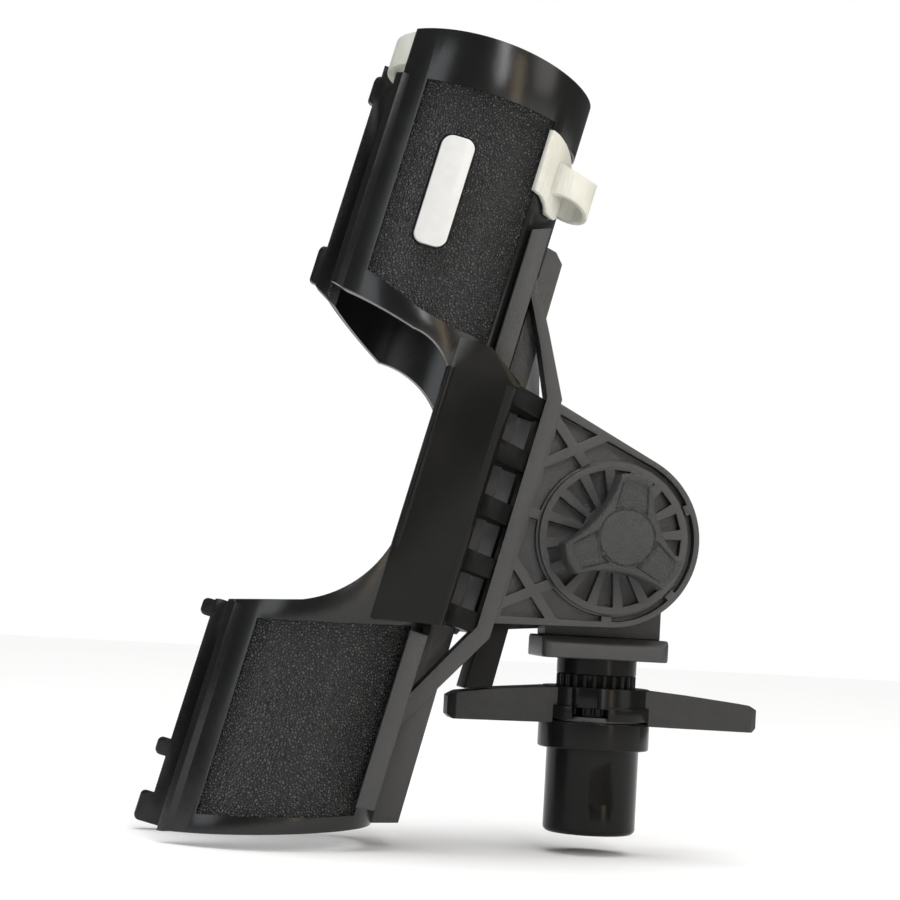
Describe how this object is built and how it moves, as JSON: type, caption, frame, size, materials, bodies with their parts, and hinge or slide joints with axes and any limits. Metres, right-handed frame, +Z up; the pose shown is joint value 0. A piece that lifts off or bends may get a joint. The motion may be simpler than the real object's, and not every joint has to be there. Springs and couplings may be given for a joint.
{
  "type": "fishing rod holder",
  "caption": "Tilting fishing rod cradle with a lock ring, a lobed clamp knob, and a swivel post that drops into a round socket.",
  "frame": {"origin": "on the post's axis at the flange's seat", "axes": "+Z up the post's axis, +X towards the cradle's back (bracket side), -Y towards the clamp knob"},
  "size_m": [0.2447, 0.0848, 0.3186],
  "materials": {
    "black_nylon": "satin moulded, glass-filled nylon; grained on the sunk panels",
    "knob_nylon": "fine grained moulding",
    "white_nylon": "smooth off-white moulding",
    "badge_plate": "plain white plate, no marking",
    "stainless": "stainless",
    "brass_insert": "turned",
    "acetal": "smooth",
    "friction_rubber": "ground"
  },
  "bodies": {
    "socket": {"base_post": "black_nylon", "wave_spring": "stainless"},
    "collar": {"locking_collar": "black_nylon", "left_wing": "black_nylon", "right_wing": "black_nylon"},
    "yoke": {"yoke_tongue": "black_nylon", "yoke_foot": "black_nylon", "swivel_neck": "black_nylon", "swivel_stem": "black_nylon", "retaining_screw": "stainless", "retaining_washer": "stainless", "near_clutch_ring": "friction_rubber", "far_clutch_ring": "friction_rubber", "thrust_washer": "acetal"},
    "cradle": {"upper_cup": "black_nylon", "lower_cup": "black_nylon", "rear_channel": "black_nylon", "near_spine_rail": "black_nylon", "far_spine_rail": "black_nylon", "spine_web": "black_nylon", "cup_strips": "black_nylon", "frame_rungs": "black_nylon", "near_side_frame": "black_nylon", "near_ear": "black_nylon", "far_ear": "black_nylon", "tilt_stop_leg": "black_nylon", "badge": "badge_plate", "clamp_bolt": "stainless", "knob_washer": "stainless"},
    "knob": {"clamp_knob": "knob_nylon", "knob_cap": "knob_nylon", "knob_insert": "brass_insert"},
    "lock": {"lock_ring": "white_nylon", "thumb_loop": "white_nylon"}
  },
  "joints": [
    {"name": "swivel", "type": "hinge", "parent": "socket", "child": "yoke", "pos_m": [0, 0, 0], "axis": [0, 0, 1], "continuous": true},
    {"name": "collar_turn", "type": "hinge", "parent": "socket", "child": "collar", "pos_m": [0, 0, 0.018], "axis": [0, 0, 1], "range_deg": [0, 60]},
    {"name": "cradle_tilt", "type": "hinge", "parent": "yoke", "child": "cradle", "pos_m": [0, 0, 0.0835], "axis": [0, 1, 0], "range_deg": [0, 75]},
    {"name": "knob_turn", "type": "hinge", "parent": "cradle", "child": "knob", "pos_m": [0, -0.03, 0.0835], "axis": [0, -1, 0], "continuous": true},
    {"name": "lock_ring_turn", "type": "hinge", "parent": "cradle", "child": "lock", "pos_m": [-0.05704, 0, 0.2628], "axis": [0.2436, 0, 0.9699], "range_deg": [0, 70]}
  ]
}
